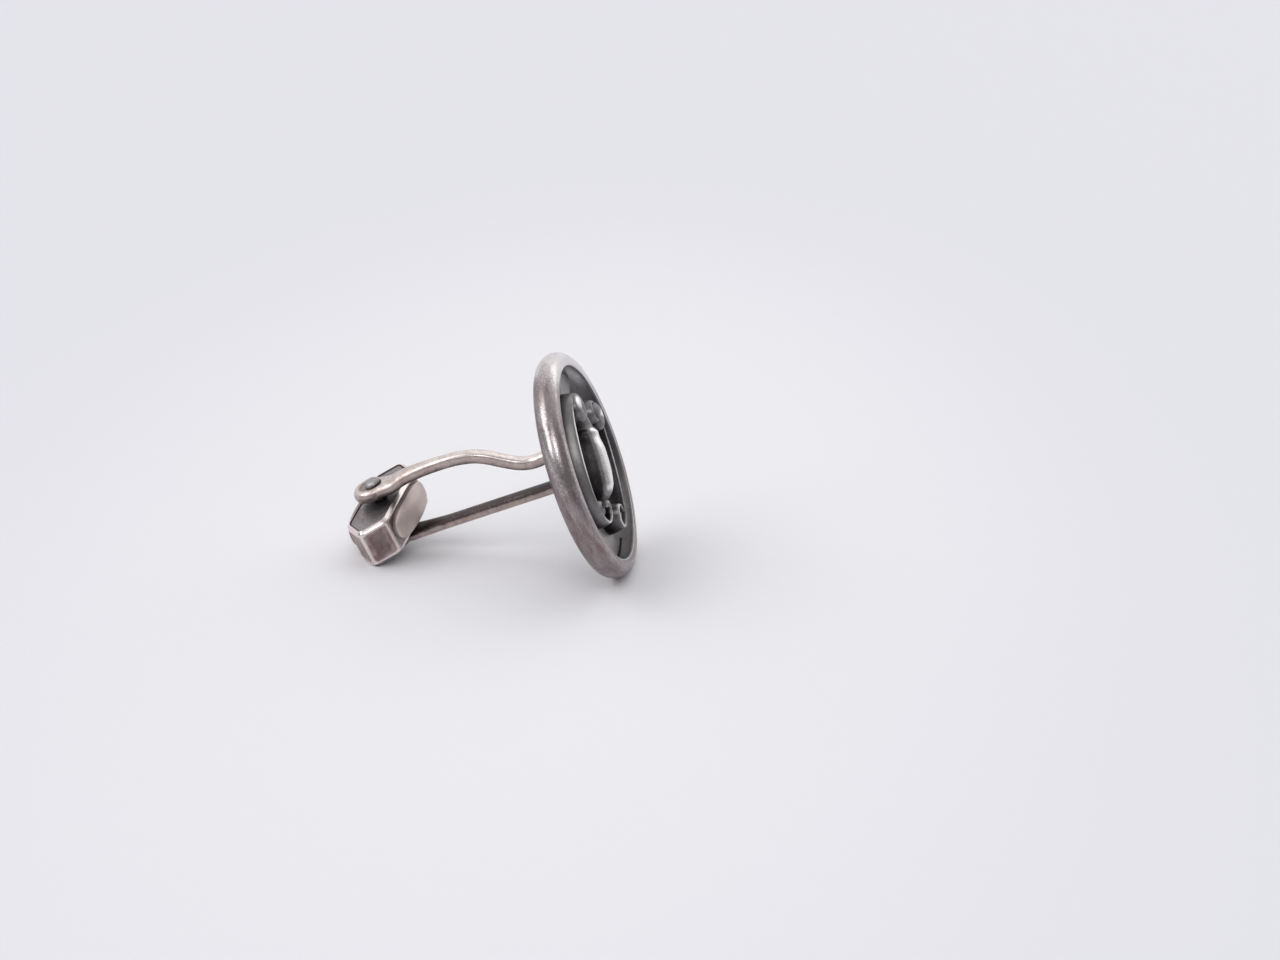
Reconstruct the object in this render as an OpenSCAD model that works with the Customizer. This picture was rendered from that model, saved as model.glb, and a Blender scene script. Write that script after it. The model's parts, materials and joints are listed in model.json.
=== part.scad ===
// Cufflink with an open ring face, a two-armed fork and a swivelling bar.
// Millimetres, +Z up. It lies as it does on a table: the ring on its rim, the fork leaning down.
// The pieces are drawn on a bench frame first, then laid down together. On the bench frame X runs
// along the shank to the front of the face, Z runs along the pivot pin, and the ring's centre is zero.

/* [Face ring] */
// Outer diameter of the ring
ring_d = 20; // [17:0.5:24]
// Width of the band, front to back
band_w = 2.2; // [1.8:0.1:2.2]
// Thickness of the band, inside to outside
band_t = 1.45; // [1.35:0.05:1.9]
// Radius of the rounded outside of the band
crown_r = 1.2; // [1.15:0.05:1.5]

/* [Ornament] */
// Turn of the ornament against the pivot pin
ornament_turn = 40; // [0:1:90]
// Length of the bud in the middle
bud_l = 8.8; // [7.5:0.1:9.2]
// Distance from the ring's middle to the bud's middle, towards its collar
bud_rise = 0.4; // [0:0.05:0.5]
// Width of the bud
bud_w = 2.9; // [2.2:0.1:3.4]
// Height of the bud over the seat
bud_h = 2.5; // [1.8:0.1:2.8]
// Distance from the bud's middle to the outside run of a scroll
scroll_bow = 5.4; // [4.8:0.1:5.8]
// Width of a scroll's band at its middle
scroll_w = 0.95; // [0.7:0.05:1.2]
// Height of a scroll's band over the seat, at its middle
scroll_h = 1.4; // [1:0.05:1.6]
// Height of a scroll's band where it curls in
curl_h = 1.85; // [1.4:0.05:2]
// Radius of the knob in the eye of each curl
knob_r = 0.7; // [0.5:0.05:0.75]
// Depth of the ornament's seat behind the ring's middle
seat_depth = 0.2; // [0.1:0.05:0.4]
// Thickness of the bar behind the ornament
bar_t = 0.55; // [0.4:0.05:0.6]
// Width of the bar behind the ornament
bar_w = 2.8; // [2.4:0.1:3.2]
// Half of the angle over which the lower leaf spreads along the ring
leaf_angle = 48; // [30:1:55]

/* [Fork] */
// Length of the shank, from the ring's middle to the pivot pin
shank_l = 18.1; // [15.5:0.1:20]
// Height of the fork's middle over the ring's middle
fork_rise = 1.1; // [0:0.1:1.6]
// Width of an arm
arm_w = 1.2; // [1:0.05:1.4]
// Thickness of an arm
arm_t = 1; // [0.8:0.05:1.1]
// Height of the upper arm's crest over the fork's middle
crest_rise = 3.3; // [3.1:0.05:3.6]
// Distance from the ring's middle to the middle of the bent end of the fork
bend_depth = 2.3; // [2.2:0.05:2.6]
// Depth of the fork's bent end under the fork's middle
bend_drop = 2.2; // [1.9:0.05:2.3]
// Height of the fork's bent end over the fork's middle
bend_rise = 1.6; // [1.5:0.05:1.8]
// Radius of the bend, to the middle of the strip
bend_r = 1; // [0.8:0.05:1.1]
// Diameter of the foot behind the bar
foot_d = 1.5; // [1.2:0.1:1.8]
// Diameter of the upper eye
eye_d = 3; // [2.7:0.1:3.2]
// Diameter of the lower eye
lower_eye_d = 2.8; // [2.6:0.1:3]
// Thickness of each eye
eye_t = 1.1; // [0.9:0.05:1.2]
// Distance from the pin to the middle of the upper eye
eye_shift = 0.45; // [0:0.05:0.5]
// Distance from the pin to the middle of the lower eye
lower_eye_shift = 0.2; // [0:0.05:0.4]

/* [Pivot pin] */
// Diameter of the pin
pin_d = 1.2; // [1:0.05:1.3]
// Depth of each of the four flats on the pin
flat_depth = 0.08; // [0.05:0.01:0.1]
// Diameter of the domed head
head_d = 1.6; // [1.4:0.05:1.7]
// Height of the domed head
head_h = 0.6; // [0.4:0.05:0.65]
// Depth of the sunk place round the domed head
sink_depth = 0.1; // [0.05:0.05:0.2]
// Running clearance between the pin and the bar's plates
pin_clearance = 0.04; // [0.02:0.01:0.08]

/* [Swivel bar] */
// Length of the straight sides
side_l = 7.2; // [6.5:0.1:8]
// Length of the pointed nose at each end
nose_l = 1.75; // [1.3:0.05:1.9]
// Width of the bar
toggle_w = 4.1; // [3.8:0.1:4.5]
// Thickness of the bar, along the pin
toggle_t = 3.65; // [3.3:0.05:3.8]
// Turn of the bar from square, as it lies
toggle_turn = 14; // [0:1:20]
// Width of the worn bevels along the edges
bevel = 0.28; // [0.15:0.01:0.35]
// Thickness of the bar's wall
wall_t = 0.62; // [0.5:0.02:0.7]
// Width of the rim round each end plate
rim_w = 0.36; // [0.36:0.01:0.42]
// Depth of each end plate under the rim
plate_sink = 0.08; // [0.04:0.01:0.12]
// Thickness of each end plate
plate_t = 0.5; // [0.4:0.05:0.6]
// Gap between the bar and the lower eye
side_gap = 0.1; // [0.04:0.01:0.14]
// Play of the bar along the pin, seen as a wider gap under the upper eye
pin_play = 0.25; // [0:0.05:0.3]
// Height of each pad at its middle
pad_h = 1.2; // [0.9:0.05:1.3]
// Height of each pad's ends
pad_end_h = 0.35; // [0.15:0.05:0.4]
// Width of each pad, along the pin
pad_w = 3; // [2.5:0.1:3.1]

/* [Click spring] */
// Thickness of the spring leaf
spring_t = 0.2; // [0.15:0.01:0.22]
// Length of the spring leaf
spring_l = 5.8; // [5:0.1:6]
// Width of the spring leaf, along the pin
spring_w = 1.7; // [1.4:0.1:1.8]
// Gap between the leaf, drawn pushed out, and the pin's round
spring_gap = 0.04; // [0.03:0.01:0.06]

/* [Hidden] */
$fn = 64;

// Ring
ring_r = ring_d / 2;
core_r = ring_r - crown_r;
inner_r = ring_r - band_t;
soft_r = 0.85 * band_t;
overrun = band_w;

// Ornament: everything on it sits on one plane, the seat
seat_x = -seat_depth;
bar_back_x = seat_x - bar_t;
bud_steps = 22;
bud_sides = 14;
collar_place_share = 0.84;
collar_swell_share = 0.16;
scroll_sides = 9;
curl_steps = 30;
curl_place_share = 0.25;
curl_power_share = 0.7;
slow_r = 2.04 * scroll_bow;
tight_r = 0.093 * scroll_bow;
scroll_half_l = 2.04 * scroll_bow;
tip_w_share = 0.62;
leaf_w_share = 1.6;
curl_seat_r = 1.9 * knob_r;
leaf_root_share = 0.46;

// Fork
fork_z = fork_rise;
pin_x = -shank_l;
pin_r = pin_d / 2;
flat_r = pin_r - flat_depth;
eye_r = eye_d / 2;
lower_eye_r = lower_eye_d / 2;
eye_level = toggle_t / 2 + side_gap + eye_t / 2;
upper_level = eye_level + pin_play;
eye_x = pin_x - eye_shift;
lower_eye_x = pin_x - lower_eye_shift;
eye_soft_r = 0.35 * eye_t;
arm_corner_r = arm_w / 5;
eye_arm_t = 0.8 * eye_t;
neck_w = 0.7 * eye_d;
bend_x = -bend_depth;
upper_start_x = bend_x - arm_t / 2;
// The upper arm's S: how far along it each point lies, and its share of the crest's height
upper_arm_shares = [[0, 0.27], [0.085, 0.225], [0.165, 0.305], [0.245, 0.515], [0.325, 0.76],
                    [0.4, 0.91], [0.5, 0.99], [0.62, 1], [0.74, 0.97], [0.83, 0.91]];
spline_steps = 4;

// Swivel bar
toggle_half_w = toggle_w / 2;
toggle_half_l = side_l / 2;
toggle_half_t = toggle_t / 2;
plate_top = toggle_half_t - plate_sink;
cavity_half = plate_top - plate_t;
plate_gap = pin_clearance;
pad_half_l = toggle_half_l - bevel / 3;
pad_bow = pad_h - pad_end_h;
pad_long_r = (pow(pad_half_l, 2) + pow(pad_bow, 2)) / (2 * pad_bow);
pad_soft_r = 0.6 * pad_h;

// Small vector helpers
function unit(v) = v / norm(v);
function total_turn(list, i) = i < 0 ? 0 : list[i] + total_turn(list, i - 1);

// How the cufflink lies. The bench direction that points up is set by the lean of the shank and the
// roll about it. Each foot's depth is measured under the ring's centre, along that direction.
function up_for(lean, roll) = [sin(lean), cos(lean) * sin(roll), cos(lean) * cos(roll)];
function ring_reach(up) = core_r * norm([up.y, up.z]) + crown_r;
function eye_reach(up) = (lower_eye_r - eye_soft_r) * norm([up.x, up.y]) + eye_soft_r * (1 - up.z)
    - [lower_eye_x, 0, fork_z - eye_level - eye_t / 2] * up;
function toggle_reach(up) = max([for (p = toggle_corners()) -p * up]);
function lean_at(roll, low = 5, high = 60, tries = 30) =
    let (mid = (low + high) / 2, up = up_for(mid, roll))
    tries == 0 ? mid
    : eye_reach(up) > ring_reach(up) ? lean_at(roll, low, mid, tries - 1)
    : lean_at(roll, mid, high, tries - 1);
function settled_roll(low = 0, high = 60, tries = 30) =
    let (mid = (low + high) / 2, up = up_for(lean_at(mid), mid))
    tries == 0 ? mid
    : toggle_reach(up) > ring_reach(up) ? settled_roll(low, mid, tries - 1)
    : settled_roll(mid, high, tries - 1);

// Outline of the swivel bar seen along the pin, moved in by a distance all round
function toggle_outline(inset) =
    let (w = toggle_half_w - inset,
         slant = norm([toggle_half_w, nose_l]),
         tip = toggle_half_l + nose_l - inset * slant / toggle_half_w,
         l = tip - nose_l * w / toggle_half_w)
    [[w, -l], [w, l], [0, tip], [-w, l], [-w, -l], [0, -tip]];

// Each corner of an outline cut off, so that it becomes two
function cut_corners(points, cut) = let (n = len(points)) [for (i = [0:n - 1])
    let (p = points[i], before = points[(i + n - 1) % n], after = points[(i + 1) % n])
    each [p + cut * unit(before - p), p + cut * unit(after - p)]];

function toggle_rings() =
    let (inner = cut_corners(toggle_outline(bevel), bevel / 2),
         outer = cut_corners(toggle_outline(0), bevel))
    [for (layer = [[inner, -toggle_half_t], [outer, bevel - toggle_half_t],
                   [outer, toggle_half_t - bevel], [inner, toggle_half_t]])
        [for (p = layer[0]) [p.x, p.y, layer[1]]]];
function toggle_to_bench(p) = [
    pin_x + p.x * cos(toggle_turn) + p.y * sin(toggle_turn),
    p.y * cos(toggle_turn) - p.x * sin(toggle_turn),
    fork_z + p.z];
function toggle_corners() = [for (ring = toggle_rings()) each [for (p = ring) toggle_to_bench(p)]];

rest_roll = settled_roll();
rest_lean = lean_at(rest_roll);
rest_up = up_for(rest_lean, rest_roll);
rest_height = ring_reach(rest_up);

// The origin is under the middle of the whole part, so its ends along the shank are found
shank_dir = [cos(rest_lean), -sin(rest_lean) * sin(rest_roll), -sin(rest_lean) * cos(rest_roll)];
function pad_reach(dir) = toggle_to_bench([pad_long_r - toggle_half_w - pad_h, 0, 0]) * dir
    + (pad_long_r - pad_soft_r) * norm([dir.x, dir.y]) + pad_soft_r + (pad_w / 2 - pad_soft_r) * abs(dir.z);
shoulder_r = core_r + sqrt(pow(crown_r, 2) - pow(band_w / 2, 2));
front_end = band_w / 2 * shank_dir.x + shoulder_r * norm([shank_dir.y, shank_dir.z]);
rear_end = min(concat([for (p = toggle_corners()) p * shank_dir],
    [[eye_x, 0, fork_z + upper_level + eye_t / 2 - eye_soft_r] * shank_dir - eye_soft_r
        - (eye_r - eye_soft_r) * norm([shank_dir.x, shank_dir.y])],
    [-pad_reach(-shank_dir)]));
middle_x = (front_end + rear_end) / 2;

module laid_down() {
    translate([-middle_x, 0, rest_height]) rotate([rest_roll, -rest_lean, 0]) children();
}

module on_pivot() {
    laid_down() translate([pin_x, 0, fork_z]) rotate([0, 0, -toggle_turn]) children();
}

module on_ornament() {
    laid_down() rotate([-ornament_turn, 0, 0]) children();
}

// A closed skin over rings that have the same number of points
module skin(rings) {
    sides = len(rings[0]);
    last = len(rings) - 1;
    polyhedron(
        points = [for (ring = rings) each ring],
        faces = concat(
            [[for (i = [0:sides - 1]) i]],
            [for (r = [0:last - 1], i = [0:sides - 1]) each
                let (a = r * sides + i, b = r * sides + (i + 1) % sides)
                [[a, a + sides, b], [b, a + sides, b + sides]]],
            [[for (i = [sides - 1:-1:0]) last * sides + i]]));
}

// One arched section: flat on the seat, rounded in front
function arch(centre, across, half_w, height, sides) =
    [for (i = [0:sides - 1]) let (a = 180 * i / (sides - 1))
        [seat_x + height * pow(sin(a), 0.8), centre.x + across.x * half_w * cos(a),
         centre.y + across.y * half_w * cos(a)]];

// A smooth curve through points, with the ends' own tangents
function bend_point(p0, p1, p2, p3, t) =
    0.5 * ((2 * p1) + (p2 - p0) * t + (2 * p0 - 5 * p1 + 4 * p2 - p3) * t * t
           + (3 * p1 - p0 - 3 * p2 + p3) * t * t * t);
function smooth_path(points, steps) = let (n = len(points) - 1) concat(
    [for (i = [0:n - 1], s = [0:steps - 1])
        bend_point(points[max(i - 1, 0)], points[i], points[i + 1], points[min(i + 2, n)], s / steps)],
    [points[n]]);

// A strip with rounded corners, carried along a path in the fork's plane
function strip_section(thick, wide) = let (w = wide / 2 - arm_corner_r, t = thick / 2 - arm_corner_r)
    [for (c = [[w, t, 0], [-w, t, 90], [-w, -t, 180], [w, -t, 270]], a = [0, 45, 90])
        [c.x + arm_corner_r * cos(c.z + a), c.y + arm_corner_r * sin(c.z + a)]];
function path_dir(path, i) = let (n = len(path) - 1)
    unit(path[min(i + 1, n)] - path[max(i - 1, 0)]);
module strip(path, thicknesses, widths, first_dir, last_dir) {
    n = len(path) - 1;
    skin([for (i = [0:n])
        let (d = i == 0 ? first_dir : i == n ? last_dir : path_dir(path, i))
        [for (q = strip_section(thicknesses[i], widths[i]))
            [path[i].x - d.y * q.y, q.x, path[i].y + d.x * q.y]]]);
}

module face_ring() {
    color("rosybrown") laid_down() rotate([0, 90, 0]) rotate_extrude() intersection() {
        translate([core_r, 0]) circle(crown_r);
        translate([inner_r, -band_w / 2]) square([2 * band_t, band_w]);
        translate([inner_r + band_t / 2, 0]) circle(soft_r);
    }
}

// The bar across the back, with leaf-shaped ends that meet the ring's inner wall
module back_bar() {
    curl = half_scroll()[curl_steps];
    color("dimgray") on_ornament() translate([bar_back_x, 0, 0]) rotate([0, 90, 0]) rotate([0, 0, 90])
        linear_extrude(bar_t) intersection() {
            circle(inner_r);
            union() {
                square([bar_w, 2 * inner_r], center = true);
                for (s = [-1, 0, 1]) translate([0, s * inner_r]) circle(d = leaf_w_share * bar_w);
                for (s = [-1, 1], t = [-1, 1]) translate([s * curl.x, t * curl.y]) circle(curl_seat_r);
                polygon([for (q = [[-1, 0], [1, 0], [1, 1], [-1, 1]])
                    [q.x * (bar_w / 2 + 2 * q.y * inner_r * sin(leaf_angle)),
                     -inner_r * (leaf_root_share + 2 * q.y * cos(leaf_angle))]]);
            }
        }
}

// The bud: slim at both ends, with a swollen collar near its upper end
function bud_swell(t) = pow(sin(180 * t), 0.75)
    * (1 + collar_swell_share * exp(-pow((t - collar_place_share) / 0.035, 2)));
module centre_bud() {
    color("darkgray") on_ornament() skin([for (i = [0:bud_steps])
        let (t = 0.004 + 0.992 * i / bud_steps, s = bud_swell(t))
        arch([0, bud_rise + bud_l * (t - 0.5)], [-1, 0], bud_w / 2 * s, bud_h * pow(s, 0.8), bud_sides)]);
}

// Half of a scroll, from its outside run to the eye of the curl. It bends evenly at first and
// then ever more tightly. Each row holds a point, its heading and how far along it lies.
function curl_bend(u) = u < curl_place_share ? 1 / slow_r
    : pow(slow_r / tight_r, pow((u - curl_place_share) / (1 - curl_place_share), curl_power_share)) / slow_r;
function half_scroll() = let (step = scroll_half_l / curl_steps)
    [for (i = 0, h = 90, p = [-scroll_bow, 0]; i <= curl_steps;
          h = h - step * curl_bend(i / curl_steps) * 180 / PI,
          p = p + step * [cos(h), sin(h)], i = i + 1) [p.x, p.y, h, i / curl_steps]];
function scroll_ring(row, side) =
    let (u = row[3], lift = pow(max(0, (u - curl_place_share) / (1 - curl_place_share)), 1.5))
    arch([row.x, side * row.y], [-sin(row[2]), side * cos(row[2])],
        scroll_w / 2 * (1 - (1 - tip_w_share) * u), scroll_h + (curl_h - scroll_h) * lift, scroll_sides);
module scroll() {
    half = half_scroll();
    rings = concat([for (i = [curl_steps:-1:1]) scroll_ring(half[i], -1)],
                   [for (i = [0:curl_steps]) scroll_ring(half[i], 1)]);
    skin(rings);
    tip = half[curl_steps];
    for (side = [-1, 1]) translate([seat_x, tip.x, side * tip.y]) {
        rotate([0, 90, 0]) cylinder(h = curl_h - knob_r / 2, r = knob_r);
        translate([curl_h - knob_r / 2, 0, 0]) sphere(knob_r);
    }
}

module left_scroll() {
    color("gray") on_ornament() scroll();
}

module right_scroll() {
    color("gray") on_ornament() mirror([0, 1, 0]) scroll();
}

module foot_post() {
    color("slategray") laid_down() translate([bend_x + arm_t / 2, 0, fork_z]) rotate([0, 90, 0])
        cylinder(h = bar_back_x - bend_x - arm_t / 2, d = foot_d);
}

// An eye with a rounded rim
module eye(x, level, r) {
    translate([x, 0, fork_z + level - eye_t / 2]) rotate_extrude() {
        square([r - eye_soft_r, eye_t]);
        translate([0, eye_soft_r]) square([r, eye_t - 2 * eye_soft_r]);
        for (z = [eye_soft_r, eye_t - eye_soft_r]) translate([r - eye_soft_r, z])
            circle(eye_soft_r, $fn = 32);
    }
}

module pin_hole() {
    translate([pin_x, 0, fork_z - eye_level - eye_t])
        cylinder(h = eye_level + upper_level + 2 * eye_t, r = pin_r);
}

// The lower arm runs straight, bends up behind the bar and ends above the foot
module lower_arm() {
    corner = [bend_x - bend_r, fork_z - bend_drop];
    path = concat(
        [for (s = [0.25, 1, 2.2, 3.4]) [pin_x + s * lower_eye_r, fork_z - eye_level]],
        [for (a = [0:15:90]) corner + [bend_r * sin(a), bend_r - bend_r * cos(a)]],
        [[bend_x, fork_z + bend_rise]]);
    thicknesses = concat([eye_arm_t, eye_arm_t], [for (i = [2:len(path) - 1]) arm_t]);
    widths = concat([neck_w, neck_w, (neck_w + 2 * arm_w) / 3], [for (i = [3:len(path) - 1]) arm_w]);
    color("tan") laid_down() difference() {
        union() {
            strip(path, thicknesses, widths, [1, 0], [0, 1]);
            eye(lower_eye_x, -eye_level, lower_eye_r);
        }
        pin_hole();
    }
}

// The upper arm dips, rises over the crest and comes down to its eye
module upper_arm() {
    run_l = shank_l + upper_start_x;
    points = concat(
        [for (s = upper_arm_shares) [upper_start_x - s.x * run_l, fork_z + s.y * crest_rise]],
        [for (s = [1.05, 0.25]) [pin_x + s * eye_r, fork_z + upper_level]]);
    path = smooth_path(points, spline_steps);
    n = len(path) - 1;
    late = [for (i = [0:n]) pow(max(0, 2 * i / n - 1), 2)];
    thicknesses = [for (u = late) arm_t + (eye_arm_t - arm_t) * u];
    widths = [for (u = late) arm_w + (neck_w - arm_w) * u];
    color("tan") laid_down() difference() {
        union() {
            strip(path, thicknesses, widths, [-1, 0], [-1, 0]);
            eye(eye_x, upper_level, eye_r);
        }
        pin_hole();
        translate([pin_x, 0, fork_z + upper_level + eye_t / 2 - sink_depth])
            cylinder(h = 2 * sink_depth, r = head_d / 2 + 0.5 * sink_depth);
    }
}

// The pin: round in the eyes and the plates, with four flats where the spring bears
module pivot_pin() {
    head_z = upper_level + eye_t / 2 - sink_depth;
    dome_r = (pow(head_d / 2, 2) + pow(head_h, 2)) / (2 * head_h);
    color("silver") laid_down() translate([pin_x, 0, fork_z]) {
        difference() {
            translate([0, 0, -eye_level - eye_t / 2]) cylinder(h = head_z + eye_level + eye_t / 2, r = pin_r);
            for (a = [0:90:270]) rotate([0, 0, a]) translate([flat_r, -pin_r, -spring_w / 2 - flat_depth])
                cube([pin_r, pin_d, spring_w + 2 * flat_depth]);
        }
        translate([0, 0, head_z]) intersection() {
            cylinder(h = head_h, d = head_d);
            translate([0, 0, head_h - dome_r]) sphere(dome_r);
        }
    }
}

module toggle_prism(inset, low, high) {
    translate([0, 0, low]) linear_extrude(high - low) polygon(toggle_outline(inset));
}

module toggle_frame() {
    color("lightgray") on_pivot() difference() {
        skin(toggle_rings());
        toggle_prism(wall_t, -toggle_t, toggle_t);
        toggle_prism(rim_w, cavity_half, toggle_t);
        toggle_prism(rim_w, -toggle_t, -cavity_half);
    }
}

module end_plate() {
    difference() {
        toggle_prism(rim_w, cavity_half, plate_top);
        cylinder(h = toggle_t, r = pin_r + pin_clearance);
    }
}

module top_plate() {
    color("darkslategray") on_pivot() end_plate();
}

module bottom_plate() {
    color("darkslategray") on_pivot() mirror([0, 0, 1]) end_plate();
}

// A pad like a cushion: bowed along the bar, with rounded rims and its flat back on the bar's side
module pad() {
    rim_r = pad_long_r - pad_soft_r;
    intersection() {
        translate([toggle_half_w + pad_h - pad_long_r, 0, 0]) rotate_extrude($fn = 200) {
            translate([0, -pad_w / 2]) square([rim_r, pad_w]);
            translate([0, pad_soft_r - pad_w / 2]) square([pad_long_r, pad_w - 2 * pad_soft_r]);
            for (s = [-1, 1]) translate([rim_r, s * (pad_w / 2 - pad_soft_r)]) circle(pad_soft_r);
        }
        translate([toggle_half_w, -pad_half_l, -toggle_t]) cube([2 * pad_h, 2 * pad_half_l, 2 * toggle_t]);
    }
}

module front_pad() {
    color("thistle") on_pivot() pad();
}

module rear_pad() {
    color("thistle") on_pivot() rotate([0, 0, 180]) pad();
}

// The leaf is bowed towards the pin, and its ends bear on the wall behind it
module click_spring() {
    near_x = pin_r + spring_gap;
    bow = toggle_half_w - wall_t - near_x - spring_t;
    bow_r = (pow(spring_l / 2, 2) + pow(bow, 2)) / (2 * bow);
    color("steelblue") on_pivot() translate([near_x + spring_t + bow_r, 0, -spring_w / 2])
        linear_extrude(spring_w) intersection() {
            difference() {
                circle(bow_r + spring_t);
                circle(bow_r);
            }
            translate([-bow_r - 2 * spring_t, -spring_l / 2]) square([bow_r, spring_l]);
        }
}

face_ring();
back_bar();
centre_bud();
left_scroll();
right_scroll();
foot_post();
lower_arm();
upper_arm();
pivot_pin();
toggle_frame();
top_plate();
bottom_plate();
front_pad();
rear_pad();
click_spring();
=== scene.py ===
"""A worn silver cufflink: an open ring face with a bud and two scrolls, a two-armed fork and a swivel bar.

Every surface is worked out with numpy in the bench frame of the part, where X runs along the shank to the
front of the face, Z runs along the pivot pin, and the ring's centre is zero. The bench frame is then laid
down on the table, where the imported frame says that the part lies.
"""

from __future__ import annotations

import json
import logging
import math
from collections.abc import Callable
from dataclasses import dataclass
from enum import Enum

import bpy
import numpy as np
from mathutils import Matrix

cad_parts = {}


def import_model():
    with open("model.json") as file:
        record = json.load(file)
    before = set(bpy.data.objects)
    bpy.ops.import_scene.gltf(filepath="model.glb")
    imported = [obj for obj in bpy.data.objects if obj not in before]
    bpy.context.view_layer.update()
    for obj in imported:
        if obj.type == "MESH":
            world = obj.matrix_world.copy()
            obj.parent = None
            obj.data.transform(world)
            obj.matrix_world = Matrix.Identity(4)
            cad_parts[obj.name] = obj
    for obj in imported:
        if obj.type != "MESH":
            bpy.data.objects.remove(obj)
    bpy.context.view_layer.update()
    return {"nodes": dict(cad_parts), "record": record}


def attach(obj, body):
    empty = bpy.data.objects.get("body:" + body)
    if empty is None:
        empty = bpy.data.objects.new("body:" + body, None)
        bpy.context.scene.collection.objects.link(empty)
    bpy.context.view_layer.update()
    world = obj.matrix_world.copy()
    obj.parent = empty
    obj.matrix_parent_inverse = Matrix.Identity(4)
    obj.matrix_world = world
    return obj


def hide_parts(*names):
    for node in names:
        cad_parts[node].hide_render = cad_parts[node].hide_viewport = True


LOG = logging.getLogger("cufflink")
MM = 0.001
STRIP_SIDES = 48
Triple = tuple[float, float, float]


class Body(Enum):
    """The two bodies that pieces ride on."""

    LINK = "link"
    BAR = "swivel_bar"


class Slot(Enum):
    """The record's material slots."""

    TARNISHED = "silver_tarnished"
    BLACKENED = "silver_blackened"
    DARK_POLISHED = "silver_dark_polished"
    WARM = "silver_warm"
    BRIGHT = "silver_bright"
    SATIN = "silver_satin"


# Shader maths


def feed(socket: bpy.types.NodeSocket, value: object) -> None:
    """Give an input socket what it takes.

    Args:
        socket: The input socket.
        value: A signal or an output socket to link, or a plain value.
    """
    if isinstance(value, Signal):
        value = value.socket
    if isinstance(value, bpy.types.NodeSocket):
        socket.id_data.links.new(value, socket)
    else:
        socket.default_value = value


class Signal:
    """A node socket that can be used in sums."""

    def __init__(self, socket: bpy.types.NodeSocket) -> None:
        """Keep the output socket."""
        self.socket = socket

    def _math(self, operation: str, *values: object, clamp: bool = False) -> "Signal":
        """Add a Math node.

        Args:
            operation: The node's operation.
            values: Numbers or signals, in the order of its sockets.
            clamp: Whether the result stays between 0 and 1.

        Returns:
            The result.
        """
        node = self.socket.id_data.nodes.new("ShaderNodeMath")
        node.operation = operation
        node.use_clamp = clamp
        for socket, value in zip(node.inputs, values):
            feed(socket, value)
        return Signal(node.outputs[0])

    def __add__(self, other: object) -> "Signal":
        """Sum."""
        return self._math("ADD", self, other)

    __radd__ = __add__

    def __sub__(self, other: object) -> "Signal":
        """Difference."""
        return self._math("SUBTRACT", self, other)

    def __rsub__(self, other: object) -> "Signal":
        """Difference from a number."""
        return self._math("SUBTRACT", other, self)

    def __mul__(self, other: object) -> "Signal":
        """Product."""
        return self._math("MULTIPLY", self, other)

    __rmul__ = __mul__

    def soft(self, low: float, high: float) -> "Signal":
        """Rise from 0 to 1 with rounded ends: 3 t squared less 2 t cubed.

        Args:
            low: Where it is 0.
            high: Where it is 1.

        Returns:
            The ramp.
        """
        t = self._math("MULTIPLY", self - low, 1.0 / (high - low), clamp=True)
        return t * t * (3.0 - 2.0 * t)


class Nodes:
    """Builds the nodes of one tree."""

    def __init__(self, tree: bpy.types.NodeTree) -> None:
        """Start with the tree emptied."""
        self.tree = tree
        tree.nodes.clear()

    def node(self, kind: str, settings: dict | None = None, inputs: dict | None = None) -> bpy.types.Node:
        """Add a node.

        Args:
            kind: The node's type.
            settings: Its settings, such as an operation.
            inputs: Values or links of its sockets, by name or number.

        Returns:
            The node.
        """
        node = self.tree.nodes.new(kind)
        for key, value in (settings or {}).items():
            setattr(node, key, value)
        for key, value in (inputs or {}).items():
            feed(node.inputs[key], value)
        return node


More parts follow.
